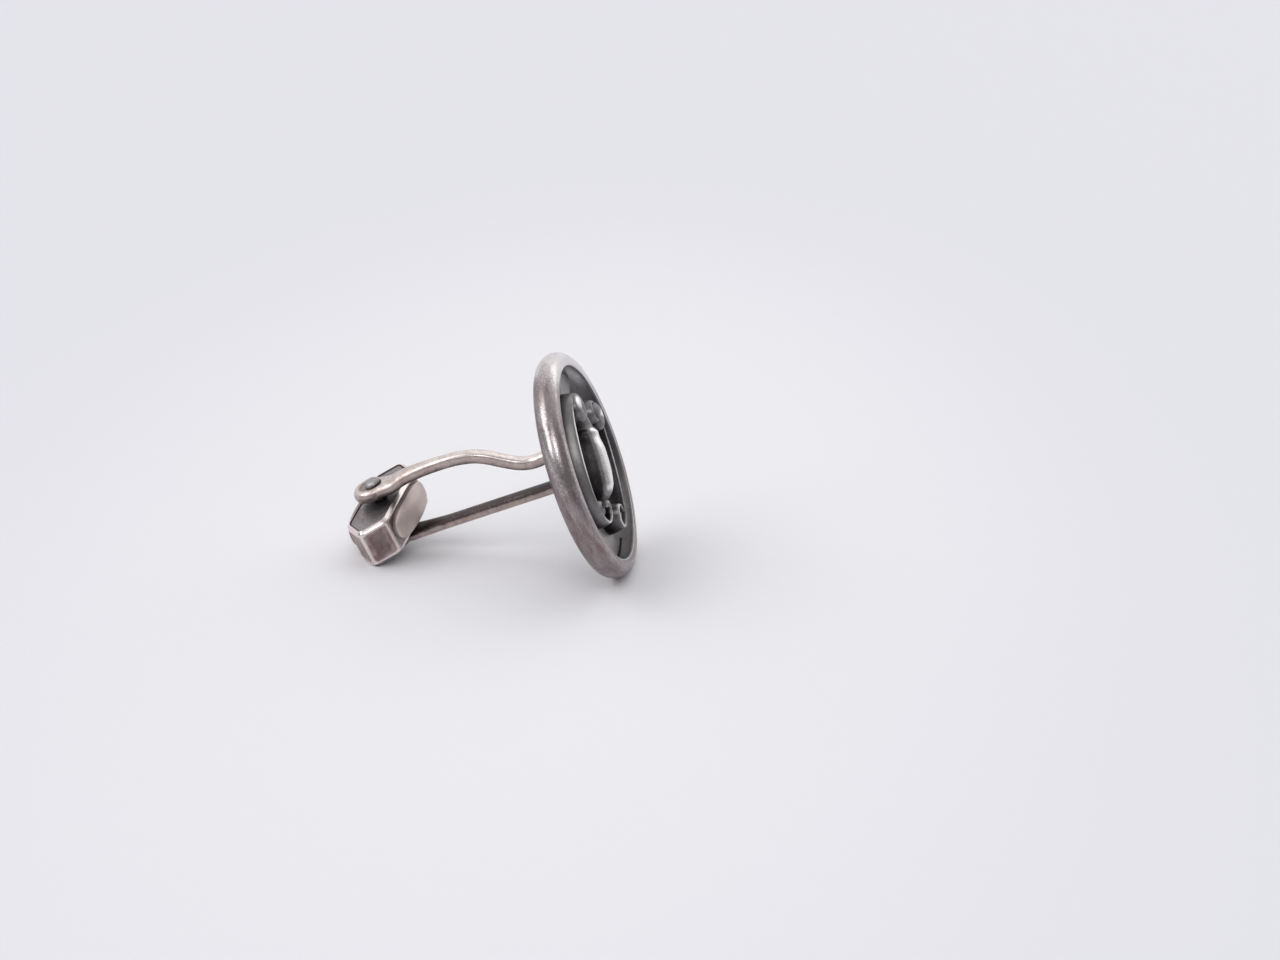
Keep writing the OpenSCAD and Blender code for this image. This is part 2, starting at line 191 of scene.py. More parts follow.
class Bench(Nodes):
    """Builds the nodes of one material."""

    def __init__(self, name: str) -> None:
        """Start a material with one Principled shader.

        Args:
            name: The material's name.
        """
        self.material = bpy.data.materials.new(name)
        self.material.use_nodes = True
        super().__init__(self.material.node_tree)
        self.shader = self.node("ShaderNodeBsdfPrincipled")
        self.node("ShaderNodeOutputMaterial", None, {"Surface": self.shader.outputs[0]})
        self.where = self.node("ShaderNodeTexCoord").outputs["Object"]

    def moved(self, turn: Triple = (0.0, 0.0, 0.0), stretch: Triple = (1.0, 1.0, 1.0),
              shift: Triple = (0.0, 0.0, 0.0)) -> bpy.types.NodeSocket:
        """Object coordinates, turned and stretched.

        Args:
            turn: Turn about each axis, in degrees.
            stretch: Scale along each axis.
            shift: Offset, in metres.

        Returns:
            The vector.
        """
        node = self.node("ShaderNodeMapping", None, {
            "Vector": self.where,
            "Location": shift,
            "Rotation": tuple(math.radians(a) for a in turn),
            "Scale": stretch,
        })
        return node.outputs[0]

    def noise(self, per_mm: float, detail: float, rough: float, warp: float = 0.0, at: object = None) -> Signal:
        """Even noise, from about 0.2 to 0.8.

        Args:
            per_mm: Its spots per millimetre.
            detail: Its layers.
            rough: How strong the finer layers are.
            warp: How twisted it is.
            at: The vector that it is read at, where that isn't Object coordinates.

        Returns:
            The noise.
        """
        node = self.node("ShaderNodeTexNoise", {"noise_dimensions": "3D"}, {
            "Vector": at or self.where,
            "Scale": per_mm / MM,
            "Detail": detail,
            "Roughness": rough,
            "Distortion": warp,
        })
        return Signal(node.outputs[0])

    def mix(self, share: object, one: object, other: object) -> Signal:
        """Mix two colours.

        Args:
            share: How much of the second, from 0 to 1.
            one: A colour, or a signal that carries one.
            other: Another.

        Returns:
            The mixed colour.
        """
        first, second = (c if isinstance(c, Signal) else (*c, 1.0) for c in (one, other))
        settings = {"data_type": "RGBA", "clamp_factor": True}
        return Signal(self.node("ShaderNodeMix", settings, {0: share, 6: first, 7: second}).outputs[2])

    def bump(self, height: Signal, depth_mm: float, base: bpy.types.NodeSocket | None = None) -> bpy.types.NodeSocket:
        """Turn a height from 0 to 1 into a normal.

        Args:
            height: The height.
            depth_mm: How deep 0 to 1 is, in millimetres.
            base: A normal that it goes on top of.

        Returns:
            The normal.
        """
        inputs = {"Height": height, "Distance": depth_mm * MM, "Strength": 1.0}
        if base is not None:
            inputs["Normal"] = base
        return self.node("ShaderNodeBump", None, inputs).outputs[0]

    def attribute(self, name: str, output: str = "Fac") -> Signal:
        """Read one of the piece's own attributes, as a number or, from the output Vector, as a place."""
        return Signal(self.node("ShaderNodeAttribute", {"attribute_name": name}).outputs[output])

    def set(self, name: str, value: object) -> None:
        """Set or link one of the shader's sockets."""
        feed(self.shader.inputs[name], value)


# The laid-down bench frame


@dataclass(frozen=True)
class Rest:
    """How the bench frame lies in the world."""

    centre: np.ndarray
    axes: np.ndarray

    @classmethod
    def read(cls, record: dict, half_band: float) -> "Rest":
        """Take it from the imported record's joint and mount.

        Args:
            record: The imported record.
            half_band: Half of the ring's width, in millimetres.

        Returns:
            The rest pose.
        """
        joint = record["behaviour"]["joints"][0]
        seat = next(m for m in record["mounts"] if m["name"] == "cuff_seat")
        front = -np.array(seat["axis"], float)
        up = np.array(joint["axis"], float)
        front /= np.linalg.norm(front)
        up -= front * (up @ front)
        up /= np.linalg.norm(up)
        across = np.cross(up, front)
        return cls(np.array(seat["pos_m"]) + front * half_band * MM, np.stack([front, across, up]))

    def place(self, points: np.ndarray) -> np.ndarray:
        """Bench points, in millimetres, to world points, in metres."""
        return self.centre + (points @ self.axes) * MM


# Surfaces


def unit(v: np.ndarray) -> np.ndarray:
    """Scale vectors to length 1, along the last axis."""
    return v / np.maximum(np.linalg.norm(v, axis=-1, keepdims=True), 1e-12)


def full_turn(count: int) -> np.ndarray:
    """Even angles round a full turn, in radians."""
    return np.linspace(0, 2 * np.pi, count, endpoint=False)


def rounded(x: np.ndarray, power: float) -> np.ndarray:
    """A power of the size of each number, with its sign kept: of a circle's coordinates it is a superellipse."""
    return np.sign(x) * np.abs(x) ** power


def bell(x: np.ndarray, middle: float, width: float, power: int = 2) -> np.ndarray:
    """Fall off from 1 to both sides: the exponential of minus a power of the distance over the width."""
    return np.exp(-(((x - middle) / width) ** power))


def spun(u: np.ndarray, v: np.ndarray, degrees: float) -> tuple[np.ndarray, np.ndarray]:
    """Two coordinates turned about the third axis: u cos + v sin, and v cos - u sin."""
    c, s = math.cos(math.radians(degrees)), math.sin(math.radians(degrees))
    return u * c + v * s, v * c - u * s


def grid_faces(rows: int, columns: int, close_rows: bool) -> np.ndarray:
    """Quads of a grid of points whose rows are loops.

    Args:
        rows: Number of rows.
        columns: Points in a row.
        close_rows: Whether the last row meets the first.

    Returns:
        One row of four indices for each quad.
    """
    i, j = np.meshgrid(np.arange(rows if close_rows else rows - 1), np.arange(columns), indexing="ij")
    here, after, beside = i * columns, (i + 1) % rows * columns, (j + 1) % columns
    return np.stack([here + j, after + j, after + beside, here + beside], axis=-1).reshape(-1, 4)


def smooth_curve(points: np.ndarray, count: int) -> np.ndarray:
    """A smooth curve through points, read at even steps.

    Its pieces are cubics whose tangents are half the chord of the points on either side. The end points
    count twice.

    Args:
        points: The points, one a row.
        count: How many points to return.

    Returns:
        The points on the curve.
    """
    p = np.vstack([points[:1], points, points[-1:]])
    u = np.linspace(0, len(points) - 1 - 1e-9, count)
    i = u.astype(int)
    t = (u - i)[:, None]
    a, b, c, d = p[i], p[i + 1], p[i + 2], p[i + 3]
    return 0.5 * (2 * b + (c - a) * t + (2 * a - 5 * b + 4 * c - d) * t**2 + (3 * b - a - 3 * c + d) * t**3)


def through(places: list[float], values: list[float], t: np.ndarray) -> np.ndarray:
    """Values at given places joined by a curve: each piece is a cubic with level ends where the slope turns.

    Args:
        places: Where the values stand, rising.
        values: The values.
        t: Where to read.

    Returns:
        The curve's values there: monotone cubic pieces, with the harmonic mean of the two slopes at each place.
    """
    x, y = np.asarray(places, float), np.asarray(values, float)
    step, slope = np.diff(x), np.diff(y) / np.diff(x)
    same = slope[:-1] * slope[1:] > 0
    safe = np.where(same, slope[:-1] + slope[1:], 1.0)
    inner = np.where(same, 2 * slope[:-1] * slope[1:] / safe, 0.0)
    tangent = np.concatenate([slope[:1], inner, slope[-1:]])
    i = np.clip(np.searchsorted(x, t, side="right") - 1, 0, len(x) - 2)
    u = (t - x[i]) / step[i]
    h0, h1 = (1 + 2 * u) * (1 - u) ** 2, u * (1 - u) ** 2
    h2, h3 = u * u * (3 - 2 * u), u * u * (u - 1)
    return h0 * y[i] + h1 * step[i] * tangent[i] + h2 * y[i + 1] + h3 * step[i] * tangent[i + 1]


def ramp(x: np.ndarray, low: float | np.ndarray, high: float) -> np.ndarray:
    """Rise from 0 to 1 with rounded ends."""
    t = np.clip((x - low) / (high - low), 0.0, 1.0)
    return t * t * (3 - 2 * t)


def turned_profile(centre: tuple[float, float], radius: np.ndarray, level: np.ndarray, wear: np.ndarray,
                   columns: int) -> "Shape":
    """A profile turned about an upright line.

    Args:
        centre: Where the line stands, in X and Y.
        radius: Distance from the line, row by row.
        level: Height, row by row.
        wear: Wear, row by row.
        columns: Points round.

    Returns:
        The closed surface: each row is a circle of its radius at its level.
    """
    t, r = full_turn(columns), radius[:, None]
    grid = np.stack([centre[0] + r * np.cos(t), centre[1] + r * np.sin(t),
                     np.broadcast_to(level[:, None], (len(level), columns))], axis=-1)
    return Shape.sheet(grid, wear[:, None], cap_ends=True)


def strip(path: np.ndarray, thick: np.ndarray, wide: np.ndarray, flip: bool, power: float) -> "Shape":
    """A rounded strip carried along a path in the fork's plane.

    The section is a superellipse, whose thickness lies along the path's upward normal.

    Args:
        path: X and Z of its middle line.
        thick: Thickness at each point.
        wide: Width at each point, along Y.
        flip: Whether the path runs backwards, so that its upward side is on its right.
        power: How square the section is.

    Returns:
        The closed strip, worn and lit by a painted highlight on top.
    """
    way = unit(np.gradient(path, axis=0))
    up = np.stack([-way[:, 1], way[:, 0]], axis=-1) * (-1.0 if flip else 1.0)
    a = full_turn(STRIP_SIDES)
    across, lift = rounded(np.cos(a), 2 / power), rounded(np.sin(a), 2 / power)
    rise = thick[:, None] / 2 * lift
    grid = np.stack([path[:, :1] + up[:, :1] * rise, wide[:, None] / 2 * across,
                     path[:, 1:] + up[:, 1:] * rise], axis=-1)
    # Worn and lit with a painted highlight on top, darker below.
    return Shape.sheet(grid, 0.41 + 0.38 * lift, cap_ends=True)


@dataclass
class Shape:
    """Points and faces of one piece, in bench millimetres, and each point's tone from 0 to 1: how worn it is, plus
    painted light.
    """

    points: np.ndarray
    faces: list[np.ndarray]
    wear: np.ndarray

    @classmethod
    def sheet(cls, grid: np.ndarray, wear: object, close_rows: bool = False, cap_ends: bool = False) -> "Shape":
        """A grid of points, whose rows are loops, as a closed surface with its faces outwards.

        Args:
            grid: Points, rows by columns by three.
            wear: One number, or an array that spreads over rows by columns.
            close_rows: Whether the last row meets the first.
            cap_ends: Whether the first and last rows get a fan to their middle instead.

        Returns:
            The surface.
        """
        rows, columns, _ = grid.shape
        points = grid.reshape(-1, 3)
        worn = np.broadcast_to(np.asarray(wear, float), (rows, columns)).reshape(-1)
        faces = [grid_faces(rows, columns, close_rows)]
        if cap_ends:
            points = np.vstack([points, grid[0].mean(axis=0), grid[-1].mean(axis=0)])
            worn = np.concatenate([worn, [worn[:columns].mean(), worn[-columns:].mean()]])
            k = np.arange(columns)
            n = (k + 1) % columns
            last = (rows - 1) * columns
            faces.append(np.stack([k, n, np.full(columns, rows * columns)], axis=-1))
            faces.append(np.stack([last + n, last + k, np.full(columns, rows * columns + 1)], axis=-1))
        return cls(points, faces, worn).outward()

    def joined(self, *others: "Shape") -> "Shape":
        """Put this shape and others together.

        Args:
            others: The other shapes.

        Returns:
            All of them as one shape.
        """
        points, faces, wear = [self.points], list(self.faces), [self.wear]
        shift = len(self.points)
        for other in others:
            faces += [f + shift for f in other.faces]
            points.append(other.points)
            wear.append(other.wear)
            shift += len(other.points)
        return Shape(np.vstack(points), faces, np.concatenate(wear))

    def mapped(self, change: Callable[[np.ndarray], np.ndarray]) -> "Shape":
        """The shape with its points put through a function."""
        return Shape(change(self.points), self.faces, self.wear)

    def outward(self) -> "Shape":
        """The shape with its faces turned round if it is inside out.

        Its volume is a sixth of the sum of a . (b x c) over the triangles of each face. A face that is
        turned round keeps its first corner, so that it is split along the same diagonal.

        Returns:
            The shape itself, or one with its faces turned round.
        """
        total = 0.0
        for f in self.faces:
            for k in range(1, f.shape[1] - 1):
                a, b, c = self.points[f[:, 0]], self.points[f[:, k]], self.points[f[:, k + 1]]
                total += float(np.einsum("ij,ij->i", a, np.cross(b, c)).sum()) / 6
        if total >= 0:
            return self
        return Shape(self.points, [np.roll(f[:, ::-1], 1, axis=1) for f in self.faces], self.wear)


def make_piece(name: str, shape: Shape, rest: Rest, body: Body, material: bpy.types.Material,
               replaced: tuple[str, ...] = (), crease: float = 40.0) -> bpy.types.Object:
    """Put a shape into the scene.

    Args:
        name: The piece's name.
        shape: Its surface, in bench millimetres.
        rest: The laid-down frame.
        body: The body that it rides on.
        material: Its material.
        replaced: The CAD nodes that it stands for.
        crease: The angle, in degrees, past which an edge stays sharp.

    Returns:
        The object.
    """
    mesh = bpy.data.meshes.new(name)
    faces = [tuple(row) for f in shape.faces for row in f.tolist()]
    mesh.from_pydata(rest.place(shape.points).tolist(), [], faces)
    # Tone attribute: how worn each point is, plus painted highlights and painted shade on some pieces.
    mesh.attributes.new("wear", "FLOAT", "POINT").data.foreach_set("value", shape.wear)
    mesh.validate()
    mesh.update()
    mesh.materials.append(material)
    mesh.shade_smooth()
    mesh.set_sharp_from_angle(angle=math.radians(crease))
    piece = bpy.data.objects.new(name, mesh)
    bpy.context.scene.collection.objects.link(piece)
    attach(piece, body.value)
    if replaced:
        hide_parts(*replaced)
    LOG.info("%s: %d faces", name, len(faces))
    return piece


# Finishes


@dataclass(frozen=True)
class Silver:
    """Old silver: bright where it is rubbed, warm with tarnish on open faces, and black where it is sheltered."""

    name: str
    clean: Triple
    body: Triple
    warm: Triple
    dark: Triple
    warm_share: float = 0.5
    mottle: float = 0.35
    gloss: float = 0.2
    dull: float = 0.42
    patch_per_mm: float = 0.5
    scratch_mm: float = 0.004
    wave_mm: float = 0.02
    even: float | None = None
    streaks: float = 0.0
    metal: float = 1.0
    grained: bool = False

    def make(self) -> bpy.types.Material:
        """Build the material.

        Wear, with the painted highlights and painted shade that some pieces carry, comes from the piece's own
        attribute, or is even all over, and slow and fine noise is added to it. By the sum, the tarnished body
        fades to black below about a half and to clean silver above it.
        Grained silver reads its slow noise along the way that the piece was polished.

        Returns:
            The material, with fine scratches, pits and slow waves in the surface.
        """
        bench = Bench(self.name)
        grain = bench.attribute("grain", "Vector") if self.grained else None
        patch = bench.noise(self.patch_per_mm, 6.0, 0.66, 0.3, grain)
        fleck = bench.noise(self.patch_per_mm * 7.0, 4.0, 0.62)
        tint_at = grain or bench.moved(shift=(0.013, 0.007, 0.003))
        tint = bench.noise(self.patch_per_mm * 1.7, 5.0, 0.62, 0.6, tint_at)
        fine = bench.noise(15.0, 2.0, 0.5)
        speckle = (patch - 0.5) * (1.1 * self.mottle) + (fleck - 0.5) * (1.3 * self.mottle)
        if self.streaks:
            streak = bench.noise(2.2, 3.0, 0.6, 0.0, bench.moved(turn=(40, 0, 0), stretch=(1.0, 2.4, 0.15)))
            speckle = speckle + (streak - 0.5) * self.streaks
        tone = speckle + (bench.attribute("wear") if self.even is None else self.even)
        low = 0.56 - 0.3 * self.warm_share
        warmth = (tint * 0.6 + fleck * 0.4).soft(low, low + 0.26)
        colour = bench.mix(warmth, self.body, self.warm)
        shine = tone.soft(0.55, 0.95)
        colour = bench.mix(shine, colour, self.clean)
        # Black where the tone is low: patina in sheltered places, and painted shade where a piece's tone carries it.
        grime_and_shade = 1.0 - tone.soft(0.02, 0.46)
        colour = bench.mix(grime_and_shade * 0.95, colour, self.dark)
        bench.set("Base Color", colour)
        bench.set("Metallic", self.metal - grime_and_shade * 0.25)
        bench.set("Roughness", self.dull - (self.dull - self.gloss) * shine + warmth * 0.05 + (fine - 0.5) * 0.12)
        scratch = bench.noise(5.0, 3.0, 0.6, 0.0, bench.moved(turn=(20, 35, 10), stretch=(1.0, 7.0, 0.3)))
        pit = bench.noise(8.0, 2.0, 0.5).soft(0.67, 0.76)
        waves = bench.bump(bench.noise(0.7, 2.0, 0.5), self.wave_mm)
        bench.set("Normal", bench.bump(scratch * 0.8 + fine * 0.4 - pit, self.scratch_mm, waves))
        return bench.material


def flat_black(name: str) -> bpy.types.Material:
    """A plain near-black material for seams, a little warm of grey.

    Args:
        name: The material's name.

    Returns:
        The material.
    """
    bench = Bench(name)
    bench.set("Base Color", (0.0132, 0.012, 0.012, 1.0))
    bench.set("Roughness", 0.7)
    bench.set("Specular IOR Level", 0.1)
    return bench.material


RING = Silver("ring silver", (0.74, 0.70, 0.695), (0.31, 0.275, 0.277), (0.195, 0.135, 0.138), (0.05, 0.036, 0.037),
              warm_share=0.6, mottle=0.60, dull=0.30, patch_per_mm=1.0, scratch_mm=0.0025, grained=True)
WALL = Silver("wall silver", (0.62, 0.61, 0.615), (0.18, 0.173, 0.177), (0.13, 0.12, 0.123), (0.03, 0.025, 0.026),
              warm_share=0.4, mottle=0.2, gloss=0.3, dull=0.4, patch_per_mm=0.35)
ORNAMENT = Silver("ornament silver", (0.84, 0.82, 0.815), (0.25, 0.242, 0.242), (0.18, 0.16, 0.158),
                  (0.016, 0.0125, 0.0135), warm_share=0.3, mottle=0.24, gloss=0.27, dull=0.38, scratch_mm=0.002)
BACKING = Silver("backing silver", (0.62, 0.60, 0.60), (0.36, 0.345, 0.345), (0.25, 0.225, 0.225),
                 (0.04, 0.036, 0.037), warm_share=0.3, mottle=0.3, gloss=0.3, dull=0.45, even=0.5, streaks=0.9)
ARM = Silver("arm silver", (0.88, 0.815, 0.775), (0.54, 0.465, 0.44), (0.41, 0.31, 0.278), (0.04, 0.03, 0.03),
             warm_share=0.55, mottle=0.46, dull=0.34, patch_per_mm=1.0)
HEAD = Silver("rivet silver", (0.66, 0.65, 0.65), (0.34, 0.325, 0.325), (0.27, 0.24, 0.235), (0.03, 0.025, 0.025),
              warm_share=0.3, mottle=0.5, gloss=0.26, dull=0.42, patch_per_mm=1.5)
FACETS = Silver("bar silver", (0.80, 0.72, 0.70), (0.40, 0.335, 0.325), (0.25, 0.16, 0.163), (0.085, 0.052, 0.054),
                warm_share=0.6, mottle=0.11, gloss=0.24, dull=0.38, scratch_mm=0.001)
PLATE = Silver("plate silver", (0.5, 0.49, 0.495), (0.29, 0.275, 0.28), (0.18, 0.148, 0.15), (0.045, 0.035, 0.037),
               mottle=0.45, gloss=0.24, dull=0.36, patch_per_mm=0.4)
PAD = Silver("pad silver", (0.76, 0.68, 0.65), (0.60, 0.51, 0.48), (0.53, 0.435, 0.405), (0.1, 0.075, 0.072),
             warm_share=0.45, mottle=0.12, gloss=0.36, dull=0.44, wave_mm=0.008, metal=0.5)
SPRING = Silver("spring steel", (0.6, 0.61, 0.63), (0.5, 0.5, 0.52), (0.42, 0.42, 0.43), (0.2, 0.2, 0.2),
                warm_share=0.2, mottle=0.1, dull=0.3, even=0.6)


# Sub-assemblies


@dataclass
class FaceRing:
    """The open ring of the face: a rounded band with a flat back. Places round it are in radians from the top."""

    outer_r: float = 10.0
    half_band: float = 1.1
    thick: float = 1.45
    crown_r: float = 1.2
    soft_share: float = 0.85
    corner_power: float = 22.0
    wall_below: float = -0.42
    grain_r: float = 2.5
    lit_at: float = 0.55
    front_lit_at: float = 0.9
    rubbed_at: float = 5.43
    dusky_at: float = 4.0
    around: int = 360
    section: int = 96

    def profile(self) -> tuple[np.ndarray, np.ndarray]:
        """The section as a loop, and how worn it is.

        Seen from the middle of the section, the reach to each of four limits is worked out: the two flat
        faces, the inner wall, the round crown and a round that softens the corners. The four are joined by a
        power mean, so that the corners are a little rounded.

        Returns:
            Rows of X and distance from the ring's axis, and the wear.
        """
        a = full_turn(self.section)
        c, s = np.cos(a), np.sin(a)
        mid = self.outer_r - self.thick / 2
        rise = mid - (self.outer_r - self.crown_r)
        flat = self.half_band / np.maximum(np.abs(c), 1e-3)
        wall = np.where(s < -1e-3, self.thick / 2 / np.maximum(-s, 1e-3), 1e3)
        crown = -rise * s + np.sqrt((rise * s) ** 2 - rise**2 + self.crown_r**2)
        soft = np.full_like(a, self.soft_share * self.thick)
        limits = np.stack([flat, wall, crown, soft])
        reach = (limits**-self.corner_power).sum(axis=0) ** (-1 / self.corner_power)
        point = np.stack([reach * c, mid + reach * s], axis=-1)
        wear = 0.47 + 0.10 * ramp(s, 0.2, 0.9)
        wear = np.where(s < -0.3, 0.30, wear)
        rim = bell(point[:, 1] - mid, -0.60, 0.07) * (np.abs(c) > 0.5)
        front = bell(point[:, 1], mid, 0.45, 4) * (c > 0.5)
        return point, wear + 0.60 * rim * np.where(c > 0, 1.0, 0.4) + 0.22 * front

    def shape(self) -> Shape:
        """The profile carried round the ring, with slow hand-made waves of a hundredth of a millimetre.

        A painted highlight is added where the sky would light the top of the band, the front edge near the
        top and the top of the inner wall, with painted shade on the rest of that wall. Wear is added in one
        spot, and the outside of the band is darker low down.

        Returns:
            The closed band.
        """
        turn, a = full_turn(self.around)[:, None], full_turn(self.section)
        p, wear = self.profile()
        x = p[:, 0]
        wave = np.minimum(0.012 * np.sin(5 * turn + 0.7) + 0.008 * np.sin(11 * turn + 2.1), 0.0)
        r = p[:, 1] + wave
        rub = bell(turn, self.rubbed_at, 0.30) * bell(a, 1.9, 0.75)
        wall = (np.sin(a) < self.wall_below) & (x < x.max() - 0.25)
        # Painted light: the inner wall is lighter where the sky would light it, and darker elsewhere as painted
        # shade.
        sky = ramp(np.cos(turn - self.lit_at), 0.6, 0.95)
        lit = wall * (0.55 * sky * ramp(x, x.min() + 0.1, x.max() - 0.6) - 0.05 * (1 - sky))
        outside = p[:, 1] > self.outer_r - self.thick + 0.06
        # The outside of the band is a little darker low down.
        low = outside * 0.06 * ramp(np.cos(turn - self.dusky_at), 0.3, 0.9)
        # Painted highlight: the top of the band and its front edge near the top are made lighter.
        front = ramp(x, 0.6, 1.05) * 0.25 * ramp(np.cos(turn - self.front_lit_at), 0.2, 0.9)
        top = outside * (0.32 * ramp(np.cos(turn - self.lit_at), 0.70, 0.97) + front)
        grid = np.stack([np.broadcast_to(x, r.shape), r * np.sin(turn), r * np.cos(turn)], axis=-1)
        return Shape.sheet(grid, wear + lit - low + 0.24 * rub + top, close_rows=True)

    def build(self, rest: Rest) -> None:
        """Make and dress the ring.

        The faces of the inner wall get a finish of their own. The attribute "grain" holds each point drawn
        in towards the ring's axis, so that a pattern read there is long along the band.

        Args:
            rest: The laid-down frame.
        """
        shape = self.shape()
        ring = make_piece("ring_band", shape, rest, Body.LINK, RING.make(), ("face_ring",), 50)
        middles = full_turn(self.section) + np.pi / self.section
        inside = np.tile((np.sin(middles) < self.wall_below).astype(np.int32), self.around)
        ring.data.materials.append(WALL.make())
        ring.data.polygons.foreach_set("material_index", inside)
        r = np.linalg.norm(shape.points[:, 1:], axis=1, keepdims=True)
        drawn = (r - self.outer_r + self.grain_r) / r
        grain = shape.points * np.hstack([np.ones_like(r), drawn, drawn]) * MM
        ring.data.attributes.new("grain", "FLOAT_VECTOR", "POINT").data.foreach_set("vector", grain.ravel())


@dataclass
class Ornament:
    """The bud, the two scrolls and the seam of the leaf behind them."""

    turn: float = 40.0
    seat: float = -0.2
    bud_l: float = 8.8
    bud_rise: float = 0.4
    bud_w: float = 2.9
    bud_h: float = 2.5
    bow: float = 5.4
    band: float = 0.95
    run_h: float = 1.4
    curl_h: float = 1.85
    inner_r: float = 8.55
    leaf_angle: float = 48.0
    seam_r: float = 0.09
    seam_share: float = 0.93
    run_share: float = 2.04
    curl_share: float = 0.093
    bend_from: float = 0.25
    bend_power: float = 0.7
    narrowing: float = 0.38
    draw_in: float = 0.30
    lean: float = 0.22
    steps: int = 240

    def turned(self, points: np.ndarray) -> np.ndarray:
        """Points of the ornament's own frame, turned about X into the bench frame."""
        return np.stack([points[..., 0], *spun(points[..., 1], points[..., 2], self.turn)], axis=-1)

    def curled(self, share: np.ndarray) -> np.ndarray:
        """How far into the curl a share of the way along is: 0 on the even run, and 1 in the eye."""
        return np.maximum(0.0, (share - self.bend_from) / (1 - self.bend_from))

    def half_scroll(self) -> tuple[np.ndarray, np.ndarray, np.ndarray]:
        """Half of a scroll from its outside run to the eye of the curl.

        The bend is even on the run, and then grows by a power of the way into the curl, up to a tight radius.
        The run's radius, the tight one and the length are shares of the bow. The heading is the running sum
        of the bend, and the point is the running sum of the heading.

        Returns:
            Points, headings in radians, and shares of the way along.
        """
        u = np.arange(self.steps + 1) / self.steps
        slow, tight = self.run_share * self.bow, self.curl_share * self.bow
        bend = (slow / tight) ** (self.curled(u) ** self.bend_power) / slow
        bend = np.where(u < self.bend_from, 1 / slow, bend)
        step = self.run_share * self.bow / self.steps
        heading = np.pi / 2 - np.concatenate([[0.0], np.cumsum(bend[:-1]) * step])
        move = step * np.stack([np.cos(heading[:-1]), np.sin(heading[:-1])], axis=-1)
        points = np.vstack([[0.0, 0.0], np.cumsum(move, axis=0)]) + [-self.bow, 0.0]
        return points, heading, u

    def scroll(self) -> Shape:
        """A scroll: a steep-sided section with a narrow crest, carried along the curve and its mirror half.

        The top is drawn in to two thirds of the band's width and leans to the side of the bud. The band
        narrows to the tips and rises where it curls in. The crest is worn, the outer side half worn and the
        inner side black. The lower curl is duller than the upper one.

        Returns:
            The band and its two knobs.
        """
        half, heading, u = self.half_scroll()
        points = np.vstack([half[:0:-1] * [1, -1], half])[::2]
        heads = np.concatenate([np.pi - heading[:0:-1], heading])[::2]
        share = np.concatenate([u[:0:-1], u])[::2]
        late = self.curled(share)[:, None] ** 1.5
        half_w = self.band / 2 * (1 - self.narrowing * share[:, None])
        height = self.run_h + (self.curl_h - self.run_h) * late
        a = full_turn(56)
        ca, sa = np.cos(a), np.sin(a)
        lift = np.where(sa > 0, np.abs(sa) ** 0.62, 0.0)
        across = rounded(ca, 0.75) * (1 - self.draw_in * lift) - self.lean * lift
        x = self.seat + height * lift
        y = points[:, :1] - np.sin(heads)[:, None] * half_w * across
        z = points[:, 1:] + np.cos(heads)[:, None] * half_w * across
        side = np.where(ca > 0.0, 0.41, 0.04) * ramp(lift, 0.15, 0.62)
        upper = (points[:, 1:] > 0).astype(float)
        lower_late = late * (1 - upper)
        spots = 0.25 * np.sin(7.0 * np.linspace(-1, 1, len(points)) + 1.0)[:, None]
        crest = 0.45 + spots - 0.35 * late * upper - 0.15 * late
        wear = side * (1 - 0.65 * lower_late) + crest * ramp(lift, 0.92 - 0.10 * lower_late, 0.995)
        shape = Shape.sheet(np.stack([x, y, z], axis=-1), wear, cap_ends=True)
        y, z = half[-1]
        return shape.joined(self.knob(y - 0.36, z, r=1.25, above=0.04, rub_and_highlight=0.75),
                            self.knob(y - 0.1, -z, r=0.78, above=-0.5, rub_and_highlight=0.1))

    def knob(self, y: float, z: float, r: float, above: float, rub_and_highlight: float) -> Shape:
        """The knob in the eye of a curl: a turned drum with a round shoulder and a painted highlight on its top.

        Its profile goes up the side, over a quarter ellipse and down into a shallow dimple. The painted
        highlight is a crescent on one side: it falls off with the angle from its middle and to both sides of
        the shoulder.

        Args:
            y: Its place across the ornament.
            z: Its place along the ornament.
            r: Its radius.
            above: How far it stands over the curl.
            rub_and_highlight: How bright the painted highlight of its crescent is.

        Returns:
            The knob.
        """
        top = self.seat + self.curl_h + above
        a = np.linspace(0, np.pi / 2, 14)
        reach = np.concatenate([[1.0, 1.0], 0.5 + 0.5 * np.cos(a), [0.38, 0.22, 0.02]]) * r
        level = np.concatenate([[self.seat, top - 0.6], top - 0.55 + 0.55 * np.sin(a),
                                [top - 0.01, top - 0.05, top - 0.07]])
        shape = turned_profile((0.0, 0.0), reach, level, np.zeros(len(reach)), 48)
        point = shape.points
        angle = np.arctan2(point[:, 1], point[:, 0]) - math.radians(150.0)
        crescent = bell(np.arctan2(np.sin(angle), np.cos(angle)), 0.0, 0.9)
        shoulder = ramp(point[:, 2], top - 0.45, top - 0.1)
        # Painted highlight: a pale crescent on one side of the shoulder; the knob is also lighter towards its top.
        worn = 0.10 + 0.18 * ramp(point[:, 2], self.seat + 0.6, top) + rub_and_highlight * crescent * shoulder
        return Shape(np.stack([point[:, 2], point[:, 0] + y, point[:, 1] + z], axis=-1), shape.faces, worn)

